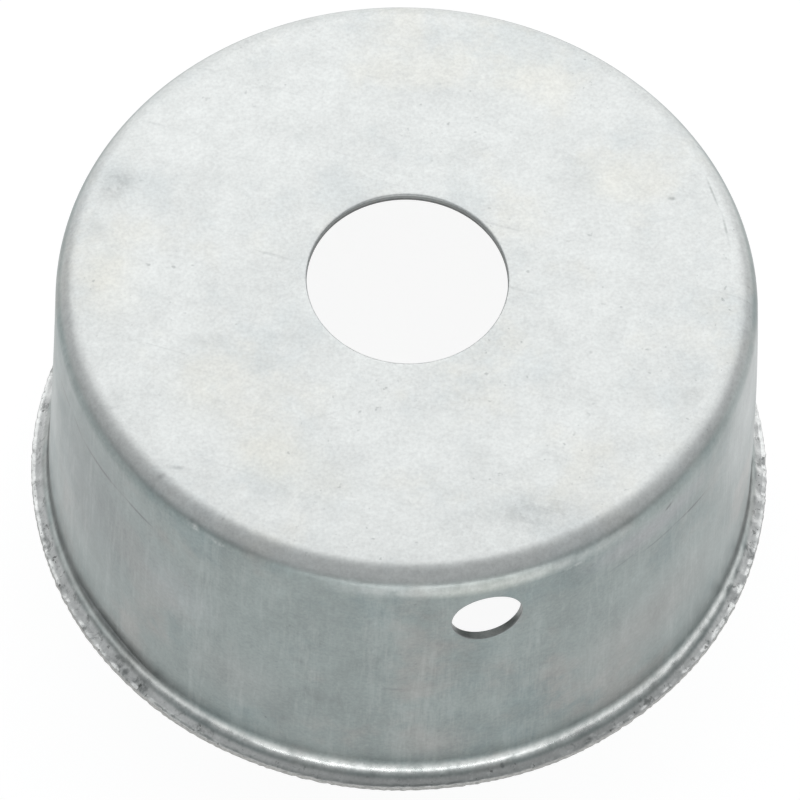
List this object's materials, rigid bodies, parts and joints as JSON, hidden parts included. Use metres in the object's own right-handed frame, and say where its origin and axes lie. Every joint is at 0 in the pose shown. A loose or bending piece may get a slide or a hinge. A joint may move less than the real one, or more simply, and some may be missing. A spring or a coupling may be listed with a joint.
{
  "type": "deep drawn metal cup",
  "caption": "Round deep drawn sheet-metal cup with a flat closed end, a centre hole, a small hole in the wall and a short turned-out rim at the mouth.",
  "frame": {"origin": "centre of the mouth, on the flat underside of the rim", "axes": "+Z along the cup's axis towards the closed end; the small hole in the wall points along -Y"},
  "size_m": [0.0896, 0.0896, 0.0405],
  "materials": {
    "zinc_coated_sheet": "dull zinc-coated sheet, as drawn, lightly scratched"
  },
  "bodies": {
    "root": {"drawn_cup": "zinc_coated_sheet"}
  },
  "joints": []
}
